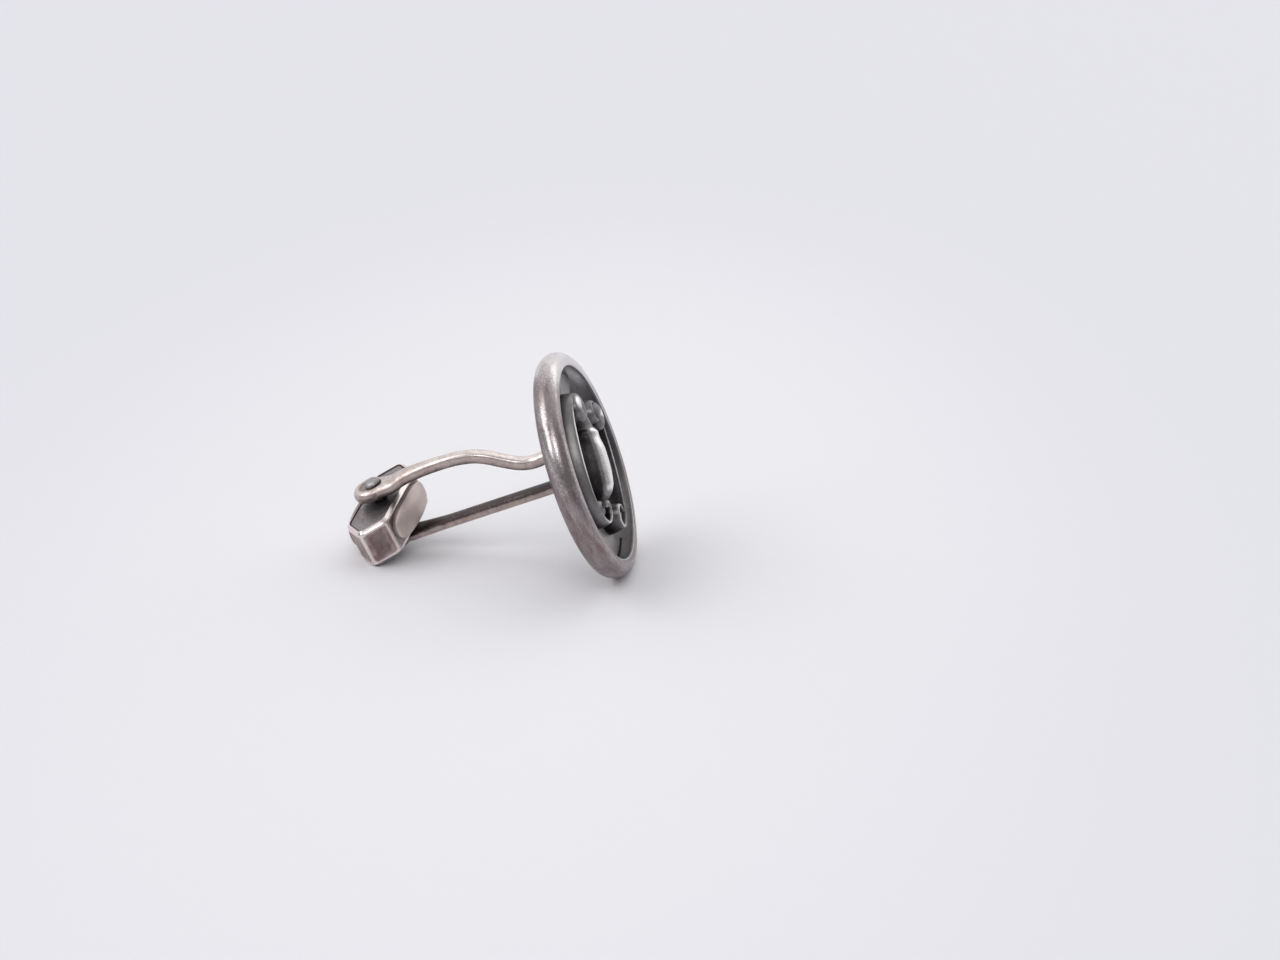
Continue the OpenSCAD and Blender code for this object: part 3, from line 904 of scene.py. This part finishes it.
    def bud(self) -> Shape:
        """The bud: an arched section whose width and height follow smooth curves through given shares.

        It is blunt at the lower end, long and nearly even in height, has a rolled collar above, and then a
        slim neck. The sides are black. The upper half of the arch is rubbed bright.

        Returns:
            The bud.
        """
        t = 0.002 + 0.996 * (0.5 - 0.5 * np.cos(np.linspace(0, np.pi, 160)))
        places = [0.0, 0.03, 0.10, 0.22, 0.36, 0.50, 0.62, 0.715, 0.745, 0.77, 0.80, 0.84, 0.92, 0.975, 1.0]
        shares = [0.02, 0.24, 0.55, 0.87, 1.0, 0.98, 0.88, 0.745, 0.765, 0.70, 0.56, 0.50, 0.42, 0.30, 0.02]
        wide = through(places, shares, t)
        places = [0.0, 0.03, 0.09, 0.15, 0.23, 0.38, 0.56, 0.70, 0.745, 0.78, 0.81, 0.90, 0.97, 1.0]
        shares = [0.02, 0.28, 0.55, 0.73, 0.83, 0.87, 0.85, 0.76, 0.755, 0.68, 0.62, 0.55, 0.38, 0.02]
        high = through(places, shares, t)
        a = full_turn(72)
        sa = np.sin(a)
        across = rounded(np.cos(a), 0.9)
        lift = np.where(sa > 0, np.abs(sa) ** 0.85, 0.0)
        x = self.seat + (self.bud_h * high)[:, None] * lift
        y = (self.bud_w / 2 * wide)[:, None] * across
        z = np.broadcast_to((self.bud_rise + self.bud_l * (t - 0.5))[:, None], x.shape)
        fade = ramp(t, 0.05, 0.2)[:, None]
        wear = 0.05 + 0.95 * ramp(lift, 0.60, 0.92) * fade
        collar = bell(t, 0.745, 0.014)[:, None] * ramp(lift, 0.2, 0.6)
        neck = ramp(t, 0.765, 0.80)[:, None] * (0.36 - wear)
        return Shape.sheet(np.stack([x, y, z], axis=-1), wear + neck + 0.14 * collar, cap_ends=True)

    def leaf_seam(self) -> Shape:
        """The dark line where the leaf meets the ring's wall: a thin round thread bent along the wall.

        Returns:
            The thread.
        """
        share = self.seam_share * np.linspace(-1, 1, 120)
        t = np.radians(180 + self.turn + share * self.leaf_angle)[:, None]
        a = full_turn(12)
        r = self.inner_r - 0.04 + self.seam_r * np.cos(a)
        x = self.seat + 0.02 + self.seam_r * np.sin(a)
        y, z = r * np.sin(t), r * np.cos(t)
        grid = np.stack([np.broadcast_to(x, y.shape), y, z], axis=-1)
        return Shape.sheet(grid, 0.0, cap_ends=True)

    def build(self, rest: Rest) -> None:
        """Make and dress the ornament.

        Args:
            rest: The laid-down frame.
        """
        finish, left = ORNAMENT.make(), self.scroll()
        right = left.mapped(lambda p: p * [1, -1, 1]).outward()
        for name, shape, node in (("scroll_left", left, "left_scroll"), ("scroll_right", right, "right_scroll"),
                                  ("bud_body", self.bud(), "centre_bud")):
            make_piece(name, shape.mapped(self.turned), rest, Body.LINK, finish, (node,), 50)
        make_piece("leaf_seam", self.leaf_seam(), rest, Body.LINK, flat_black("seam black"))


@dataclass
class Fork:
    """The two arms with their eyes, and the riveted pin."""

    pin_x: float = -18.1
    mid_z: float = 1.1
    arm_w: float = 1.2
    arm_t: float = 1.0
    crest_rise: float = 3.3
    bend_x: float = -2.3
    bend_drop: float = 2.2
    bend_rise: float = 1.6
    bend_r: float = 1.0
    upper_r: float = 1.5
    upper_shift: float = 0.45
    lower_r: float = 1.4
    lower_shift: float = 0.2
    eye_t: float = 1.1
    rim_roll: float = 0.52
    rim_power: float = 2.4
    lower_level: float = 2.475
    upper_level: float = 2.725
    pin_r: float = 0.6
    head_r: float = 0.8
    head_h: float = 0.6
    sink: float = 0.1
    lip_share: float = 0.93
    upper_power: float = 2.9
    upper_swell: float = 1.06
    upper_root: float = 1.78
    lower_power: float = 2.8
    lower_root: float = 1.4
    lower_thin: float = 0.88

    def eye(self, shift: float, level: float, r: float, sunk: bool) -> Shape:
        """An eye: a flat disc with a rolled rim and, on top, a sunk place round the rivet.

        Args:
            shift: How far behind the pin its middle is.
            level: Height of its middle over the fork's middle.
            r: Its radius.
            sunk: Whether it has the sunk place.

        Returns:
            The disc: its rim is a superellipse, and the sunk place is 0.03 mm deep.
        """
        a = np.linspace(-np.pi / 2, np.pi / 2, 40)
        roll, half = self.rim_roll, self.eye_t / 2
        rim_r = r - roll + roll * np.cos(a) ** (2 / self.rim_power)
        rim_z = half * rounded(np.sin(a), 2 / self.rim_power)
        inner = np.array([0.82, 0.66, 0.5, 0.25, 0.02]) * (r - roll)
        dip = np.array([0.0, 0.01, 0.02, 0.03, 0.03]) if sunk else np.zeros(5)
        radius = np.concatenate([inner[::-1], rim_r, inner])
        height = np.concatenate([np.full(5, -half), rim_z, half - dip])
        wear = np.concatenate([np.full(5, 0.2), 0.26 + 0.44 * ramp(np.sin(a), 0.1, 0.8), np.full(5, 0.22)])
        return turned_profile((self.pin_x - shift, 0.0), radius, self.mid_z + level + height, wear, 72)

    def upper_path(self) -> np.ndarray:
        """The upper arm's S from the bent end to the pin: a smooth curve through measured shares.

        Returns:
            X and Z of its points.
        """
        start = self.bend_x - self.arm_t / 2
        shares = np.array([[0, 0.27], [0.085, 0.225], [0.165, 0.305], [0.245, 0.515], [0.325, 0.76], [0.4, 0.91],
                           [0.5, 0.99], [0.62, 1], [0.74, 0.97], [0.83, 0.91]])
        run = start - self.pin_x
        body = np.stack([start - shares[:, 0] * run, self.mid_z + shares[:, 1] * self.crest_rise], axis=-1)
        tail = [[self.pin_x + s * self.upper_r, self.mid_z + self.upper_level] for s in (1.05, 0.25)]
        return smooth_curve(np.vstack([body, tail]), 200)

    def upper_arm(self) -> Shape:
        """The upper arm: it broadens and thickens towards its eye by the square of the way past the middle.

        Returns:
            The arm and its eye.
        """
        path = self.upper_path()
        late = np.maximum(0.0, np.linspace(-1, 1, len(path))) ** 2
        thick = self.upper_swell * self.arm_t + 0.04 * late
        wide = self.arm_w + (self.upper_root * self.upper_r - self.arm_w) * late
        arm = strip(path, thick, wide, True, self.upper_power)
        arm.wear = arm.wear - 0.10 * ramp(-arm.points[:, 0], 10.0, 15.5)
        return arm.joined(self.eye(self.upper_shift, self.upper_level, self.upper_r, True))

    def lower_arm(self) -> Shape:
        """The lower arm: straight from its eye, a round bend, and the bent end behind the ring.

        The side towards the upper arm is black with painted shade from the upper arm and the ring, and
        the outer side keeps a mid tone.

        Returns:
            The arm and its eye.
        """
        corner = np.array([self.bend_x - self.bend_r, self.mid_z - self.bend_drop])
        a = np.radians(np.linspace(0, 90, 25))[:, None]
        arc = corner + self.bend_r * np.hstack([np.sin(a), 1 - np.cos(a)])
        base = self.mid_z - self.lower_level
        knots = np.array([[self.pin_x + s * self.lower_r, base] for s in (0.25, 1, 2.2, 3.4)])
        run = np.linspace(0, 1, 60)[:, None]
        straight = knots[-1] + (arc[0] - knots[-1]) * run[:-1]
        end = arc[-1] + (np.array([self.bend_x, self.mid_z + self.bend_rise]) - arc[-1]) * run[1:]
        near = knots[0] + (knots[-1] - knots[0]) * run[:-1]
        path = np.vstack([near, straight, arc, end])
        places = knots[:, 0]
        root = self.lower_root * self.upper_r
        along = np.where(np.arange(len(path)) < len(near), path[:, 0], places[-1])
        wide = np.interp(along, places, [root, root, (root + 2 * self.arm_w) / 3, self.arm_w])
        thick = np.interp(along, places, [self.lower_thin, self.lower_thin, self.arm_t, self.arm_t])
        arm = strip(path, thick, wide, False, self.lower_power)
        a = np.tile(full_turn(STRIP_SIDES), len(path))
        # Painted shade: the side towards the upper arm is made black.
        arm.wear[:len(a)] = 0.40 - 0.38 * ramp(np.sin(a), -0.05, 0.6)
        return arm.joined(self.eye(self.lower_shift, -self.lower_level, self.lower_r, False))

    def seam(self) -> Shape:
        """The dark seam where the upper arm is butted against the bent end: a thin collar just proud of it.

        Returns:
            The collar.
        """
        path = self.upper_path()[:2]
        way = unit(path[1] - path[0])
        line = path[0] + way * np.array([[0.0], [0.02], [0.05], [0.07]])
        grow = np.array([0.0, 0.012, 0.012, 0.0])
        return strip(line, self.arm_t + grow, self.arm_w + grow, True, self.upper_power)

    def pin(self) -> Shape:
        """The pin: a round shaft and a flat-topped head with a lip, as a turned profile.

        The head is beaten by hand: its outline has slow waves of a few hundredths of its radius.

        Returns:
            The pin.
        """
        head_z = self.mid_z + self.upper_level + self.eye_t / 2 - self.sink
        a = np.linspace(0, np.pi / 2, 16)
        lip_r = self.head_r * self.lip_share
        reach = np.concatenate([[0.02, self.pin_r, self.pin_r, lip_r], lip_r * np.cos(a) ** 0.45])
        reach[-1] = 0.02
        level = np.concatenate([[self.mid_z - self.lower_level - self.eye_t / 2] * 2, [head_z, head_z],
                                head_z + 0.10 + (self.head_h - 0.16) * np.sin(a)])
        wear = np.concatenate([[0.3, 0.2, 0.0, 0.0], 0.05 + 0.5 * ramp(a, 0.3, 0.8)])
        shape = turned_profile((0.0, 0.0), reach, level, wear, 56)

        def beaten(p: np.ndarray) -> np.ndarray:
            """Slow waves round the head, and a slight tilt of its top.

            Args:
                p: Points round the pin's axis.

            Returns:
                The points moved, in the bench frame.
            """
            angle = np.arctan2(p[:, 1], p[:, 0])
            upper = p[:, 2] > head_z + 0.05
            grow = 1 + upper * (0.04 * np.sin(3 * angle + 1.0) + 0.03 * np.sin(5 * angle) - 0.01)
            tilt = upper * 0.05 * (p[:, 1] - 0.6)
            return np.stack([p[:, 0] * grow + self.pin_x, p[:, 1] * grow, p[:, 2] + tilt], axis=-1)

        return shape.mapped(beaten)

    def build(self, rest: Rest) -> None:
        """Make and dress the fork and its pin.

        Args:
            rest: The laid-down frame.
        """
        finish = ARM.make()
        make_piece("arm_upper", self.upper_arm(), rest, Body.LINK, finish, ("upper_arm",), 45)
        make_piece("arm_lower", self.lower_arm(), rest, Body.LINK, finish, ("lower_arm",), 45)
        make_piece("arm_seam", self.seam(), rest, Body.LINK, flat_black("joint black"))
        make_piece("rivet", self.pin(), rest, Body.LINK, HEAD.make(), ("pivot_pin",), 45)


@dataclass
class SwivelBar:
    """The six-sided bar with its plates and pads."""

    pin_x: float = -18.1
    mid_z: float = 1.1
    turn: float = 14.0
    half_w: float = 2.05
    half_l: float = 3.6
    nose: float = 1.75
    half_t: float = 1.825
    bevel: float = 0.28
    rim: float = 0.36
    wall: float = 0.62
    plate_top: float = 1.745
    plate_low: float = 1.245
    plate_gap: float = 0.045
    hole_r: float = 0.64
    pad_h: float = 1.2
    pad_end_h: float = 0.35
    pad_w: float = 3.0
    pad_share: float = 0.91
    pad_inset: float = 0.17
    pad_power: float = 2.9
    pad_rise: float = 0.07
    corner: float = 0.56
    corner_n: int = 14
    corner_far: float = 0.3

    def placed(self, points: np.ndarray) -> np.ndarray:
        """Points of the bar's own frame, turned about the pin into the bench frame."""
        x, y = spun(points[..., 0], points[..., 1], self.turn)
        return np.stack([self.pin_x + x, y, self.mid_z + points[..., 2]], axis=-1)

    def outline(self, inset: float) -> tuple[np.ndarray, np.ndarray]:
        """The six-sided outline moved in by a distance, with rounded corners.

        Each corner is an arc that touches both sides at the same distance from the corner. The arcs of all
        insets share their middles, so that rows of the same count line up.

        Args:
            inset: How far in.

        Returns:
            Points, two fewer for each side than for each corner, and how far each is from the nearest corner.
        """
        w = self.half_w - inset
        tip = self.half_l + self.nose - inset * math.hypot(self.half_w, self.nose) / self.half_w
        low = tip - self.nose * w / self.half_w
        v = np.array([[w, -low], [w, low], [0, tip], [-w, low], [-w, -low], [0, -tip]])
        side = np.roll(v, -1, axis=0) - v
        normal = unit(np.stack([side[:, 1], -side[:, 0]], axis=-1))
        arcs = []
        for k in range(6):
            before, after = normal[k - 1], normal[k]
            half = math.acos(float(np.clip(before @ after, -1, 1))) / 2
            r = max(self.corner / math.tan(half) - inset, 0.03)
            middle = v[k] - unit(before + after) * r / math.cos(half)
            start = math.atan2(before[1], before[0])
            a = start + np.linspace(0, 2 * half, self.corner_n)
            arcs.append(middle + r * np.stack([np.cos(a), np.sin(a)], axis=-1))
        points, far = [], []
        share = np.linspace(0, 1, self.corner_n)[1:-1, None]
        bow = np.abs(np.linspace(-self.corner_far, self.corner_far, self.corner_n))
        for k in range(6):
            a, b = arcs[k][-1], arcs[(k + 1) % 6][0]
            points += [arcs[k], a + (b - a) * share]
            far += [bow, self.corner_far + np.linalg.norm(b - a) * np.minimum(share, 1 - share)[:, 0]]
        return np.vstack(points), np.concatenate(far)

    def frame(self) -> Shape:
        """The wall of the bar: a closed profile of inset and height, carried along the outline.

        The bevels are slightly rounded where they meet the rim and the sides. They and the corners are worn
        bright, and the middles of the faces are dark.

        Returns:
            The closed wall.
        """
        b, t = self.bevel, self.half_t
        upper = [(self.rim, self.plate_low, 0.0), (self.rim, t - 0.05, 0.1), (self.rim - 0.02, t - 0.015, 0.6),
                 (self.rim - 0.05, t, 0.8), (b + 0.02, t - 0.004, 0.95), (b - 0.03, t - 0.035, 1.1),
                 (b * 0.5, t - b * 0.54, 1.0), (0.03, t - b + 0.045, 1.1), (0.0, t - b - 0.03, 0.95)]
        rows = upper + [(0.0, z, 0.0) for z in np.linspace(t - b - 0.1, -(t - b - 0.1), 26)]
        rows += [(i, -z, w * 0.85) for i, z, w in upper[::-1]]
        rows += [(self.wall, -self.plate_low, 0.0), (self.wall, 0.0, 0.0), (self.wall, self.plate_low, 0.0)]
        grid, wear = [], []
        for inset, level, worn in rows:
            line, far = self.outline(inset)
            edge = t - b - abs(level)
            if inset == 0.0 and edge > 0:
                rim = 0.14 if level > 0 else 0.26
                rub_and_highlight = bell(edge, 0.0, rim) + bell(far, 0.0, 0.13)
                inner = ramp(np.minimum(edge, far - 0.1), 0.0, 0.5)
                worn = 0.50 - 0.26 * inner * (1 - 0.5 * (line[:, 0] < 0)) + 0.5 * np.minimum(rub_and_highlight, 1.0)
            grid.append(np.column_stack([line, np.full(len(line), level)]))
            wear.append(np.broadcast_to(worn, len(line)))
        return Shape.sheet(np.array(grid), np.array(wear), close_rows=True).mapped(self.placed)

    def plate(self, side: float) -> Shape:
        """An end plate with its hole: the outline shrunk to the hole, with a worn and a sheltered edge.

        Args:
            side: 1 for the top plate, -1 for the bottom one.

        Returns:
            The plate.
        """
        line, _ = self.outline(self.rim + self.plate_gap)
        angle = np.arctan2(line[:, 1], line[:, 0])
        hole = self.hole_r * np.stack([np.cos(angle), np.sin(angle)], axis=-1)
        rows = [(0.0, self.plate_low, 0.0), (0.0, self.plate_top, 0.0)]
        rows += [(s, self.plate_top, 0.46 - 0.3 * bell(s, 0.0, 0.3)) for s in np.linspace(0.05, 0.97, 24)]
        rows += [(0.99, self.plate_top - 0.01, 0.2), (1.0, self.plate_top - 0.04, 0.0), (1.0, self.plate_low, 0.0)]
        grid = np.array([np.column_stack([hole + (line - hole) * s, np.full(len(line), side * z)])
                         for s, z, _ in rows])
        wear = np.array([w for _, _, w in rows])[:, None]
        return Shape.sheet(grid, wear, close_rows=True).mapped(self.placed)

    def pad(self, side: float) -> Shape:
        """A cushion on a long side: its height is bowed along the bar and falls off steeply at the rims.

        Over a base of concentric superellipses, set a little towards the top, the height is the bow times
        (1 - s to the power 12) to the power of a twelfth, where s goes from 0 in the middle to 1 on the rim.
        It is also lowered by a power of the way across. The rims are dark. Painted shade makes the lower
        rim darker than the upper, and the upper part of the cushion is a little darker.

        Args:
            side: 1 for the pad that faces the ring, -1 for the other.

        Returns:
            The pad.
        """
        half_l, half_w = self.pad_share * self.half_l, self.pad_w / 2 - self.pad_inset
        s = np.concatenate([np.linspace(0.01, 0.8, 16), 1 - 0.2 * (1 - np.linspace(0.05, 1, 22)) ** 2.2])[:, None]
        a = full_turn(144)
        y = half_l * s * rounded(np.cos(a), 2 / self.pad_power)
        z = half_w * s * rounded(np.sin(a), 2 / self.pad_power)
        bow = self.pad_end_h + (self.pad_h - self.pad_end_h) * (1 - (y / half_l) ** 2)
        lift = bow * (1 - 0.6 * np.abs(z / half_w) ** 2.4) * np.maximum(1 - s**12, 0.0) ** (1 / 12)
        wear = 0.58 + 0.14 * bell(s, 0.975, 0.015) - 0.40 * ramp(s, 0.99, 1.0)
        # Painted shade darkens the lower rim; the upper part is made a little darker too.
        wear = wear - 0.34 * ramp(-z / half_w, 0.66, 0.97) - 0.09 * ramp(z / half_w, 0.2, 0.8)
        top = Shape.sheet(np.stack([self.half_w + lift, y, z + self.pad_rise], axis=-1), wear, cap_ends=True)
        return top.mapped(lambda p: self.placed(p * [side, side, 1.0]))

    def build(self, rest: Rest) -> None:
        """Make and dress the bar.

        Args:
            rest: The laid-down frame.
        """
        make_piece("bar_frame", self.frame(), rest, Body.BAR, FACETS.make(), ("toggle_frame",), 38)
        plate, pad = PLATE.make(), PAD.make()
        for side, name in ((1.0, "top"), (-1.0, "bottom")):
            make_piece(f"bar_{name}_plate", self.plate(side), rest, Body.BAR, plate,
                       (f"{name}_plate",), 38)
        for side, name in ((1.0, "front"), (-1.0, "rear")):
            make_piece(f"bar_{name}_pad", self.pad(side), rest, Body.BAR, pad, (f"{name}_pad",), 60)


# Studio


def stand(name: str, data: bpy.types.ID, place: np.ndarray, axes: list[np.ndarray]) -> bpy.types.Object:
    """Stand the camera, a lamp or the table in the scene.

    Args:
        name: Its name.
        data: What it is.
        place: Where it stands, in metres.
        axes: Its own X, Y and Z axes. A lamp or camera looks against the last.

    Returns:
        The object.
    """
    thing = bpy.data.objects.new(name, data)
    turn = Matrix([[float(v) for v in row] for row in np.column_stack(axes)])
    thing.matrix_world = Matrix.Translation([float(v) for v in place]) @ turn.to_4x4()
    bpy.context.scene.collection.objects.link(thing)
    return thing


@dataclass(frozen=True)
class Studio:
    """The table, the lamps and the camera."""

    azimuth: float = -0.09896927
    elevation: float = 0.35354434
    roll: float = 0.05636138
    distance: float = 191.65932
    shift_x: float = -12.502261
    shift_y: float = 0.75547375
    focal_px: float = 2231.5201
    aim_height: float = 8.0
    picture_w: int = 1280
    backdrop: Triple = (-0.15, 1.0, 0.0)
    overhead: Triple = (0.0, 0.0, 1.0)
    windows: tuple[tuple[Triple, float], ...] = (((-0.60, -0.60, 0.53), 2.7), ((0.08, -0.66, 0.75), 3.2))
    window_edge: tuple[float, float] = (0.968, 0.987)
    table_half: float = 3.0

    def camera(self) -> None:
        """Set up the camera: it looks along a line given by azimuth and elevation, rolled a little."""
        az, el, ro = self.azimuth, self.elevation, self.roll
        look = np.array([math.sin(az) * math.cos(el), math.cos(az) * math.cos(el), -math.sin(el)])
        right = unit(np.cross(look, [0.0, 0.0, 1.0]))
        up = np.cross(right, look)
        side = right * math.cos(ro) + up * math.sin(ro)
        head = -right * math.sin(ro) + up * math.cos(ro)
        place = (np.array([0.0, 0.0, self.aim_height]) - look * self.distance
                 - side * self.shift_x - head * self.shift_y)
        data = bpy.data.cameras.new("camera")
        data.sensor_fit = "HORIZONTAL"
        data.sensor_width = 36.0
        data.lens = 36.0 * self.focal_px / self.picture_w
        data.clip_start = 0.001
        data.clip_end = 50.0
        bpy.context.scene.camera = stand("camera", data, place * MM, [side, head, -look])

    def world(self) -> None:
        """A soft studio: a pale backdrop behind and overhead, a darker room in front, and two bright windows.

        Each part is a smooth rise of the strength with the cosine of the angle from a direction. The camera
        itself sees a plain pale backdrop.
        """
        world = bpy.data.worlds.new("studio")
        bpy.context.scene.world = world
        world.use_nodes = True
        sky = Nodes(world.node_tree)
        coords = sky.node("ShaderNodeTexCoord")

        def along(direction: Triple) -> Signal:
            """Cosine of the angle between the ray and a direction.

            Args:
                direction: The direction, of any length.

            Returns:
                The cosine.
            """
            way = unit(np.array(direction, float)).tolist()
            node = sky.node("ShaderNodeVectorMath", {"operation": "DOT_PRODUCT"},
                            {0: coords.outputs["Generated"], 1: way})
            return Signal(node.outputs["Value"])

        light = 0.30 + along(self.backdrop).soft(-0.25, 0.6) * 0.60 + along(self.overhead).soft(0.3, 1.0) * 0.25
        for direction, strength in self.windows:
            light = light + along(direction).soft(*self.window_edge) * strength
        plain = sky.node("ShaderNodeBackground", None, {"Color": (0.99, 0.985, 1.0, 1.0), "Strength": light})
        seen = sky.node("ShaderNodeBackground", None, {"Color": (0.83, 0.83, 0.85, 1.0)})
        path = sky.node("ShaderNodeLightPath")
        mixed = sky.node("ShaderNodeMixShader", None, {0: path.outputs["Is Camera Ray"], 1: plain.outputs[0],
                                                       2: seen.outputs[0]})
        sky.node("ShaderNodeOutputWorld", None, {"Surface": mixed.outputs[0]})

    def sun(self, name: str, source: Triple, strength: float, spread: float) -> None:
        """A far soft lamp.

        Args:
            name: Its name.
            source: The direction that it stands in.
            strength: Its strength.
            spread: How wide it looks, in degrees.
        """
        data = bpy.data.lights.new(name, "SUN")
        data.energy = strength
        data.angle = math.radians(spread)
        back = unit(np.array(source, float))
        side = unit(np.cross([0.0, 0.0, 1.0], back))
        stand(name, data, back * 0.5, [side, np.cross(back, side), back])

    def floor(self) -> None:
        """A wide pale table with a painted falloff of light: a little darker away from the part."""
        mesh = bpy.data.meshes.new("table")
        corners = self.table_half * np.array([[-1, -1, 0], [1, -1, 0], [1, 1, 0], [-1, 1, 0]])
        mesh.from_pydata(corners.tolist(), [], [(0, 1, 2, 3)])
        bench = Bench("table white")
        # Painted light falloff: the table's colour darkens away from the part.
        spot = bench.node("ShaderNodeMapping", None, {"Vector": bench.where, "Scale": (1.0, 0.45, 1.0),
                                                      "Location": (-0.004, -0.006, 0.0)})
        away = bench.node("ShaderNodeVectorMath", {"operation": "LENGTH"}, {0: spot.outputs[0]})
        share = Signal(away.outputs["Value"]).soft(0.012, 0.07)
        bench.set("Base Color", bench.mix(share, (0.82, 0.815, 0.84), (0.74, 0.742, 0.785)))
        bench.set("Roughness", 0.7)
        bench.set("Specular IOR Level", 0.2)
        mesh.materials.append(bench.material)
        stand("table", mesh, np.zeros(3), list(np.eye(3)))

    def build(self) -> None:
        """Set up everything round the part."""
        bpy.context.scene.view_settings.view_transform = "Standard"
        self.camera()
        self.world()
        self.floor()
        self.sun("lamp_left", (-0.70, -0.12, 0.70), 0.70, 35)
        self.sun("lamp_back", (0.45, 0.60, 0.66), 0.22, 50)


def dress(nodes: dict) -> None:
    """Give the CAD nodes that stay in view their materials.

    Args:
        nodes: The CAD nodes by name.
    """
    for finish, names in ((BACKING, ("back_bar", "foot_post")), (SPRING, ("click_spring",))):
        material = finish.make()
        for name in names:
            nodes[name].material_slots[0].material = material
            LOG.info("%s dressed in %s", name, finish.name)


def main() -> None:
    """Build the scene in order."""
    logging.basicConfig(level=logging.INFO, format="%(name)s: %(message)s")
    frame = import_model()
    Studio().build()
    dress(frame["nodes"])
    ring = FaceRing()
    rest = Rest.read(frame["record"], ring.half_band)
    ring.build(rest)
    Ornament().build(rest)
    Fork().build(rest)
    SwivelBar().build(rest)


if __name__ == "__main__":
    main()
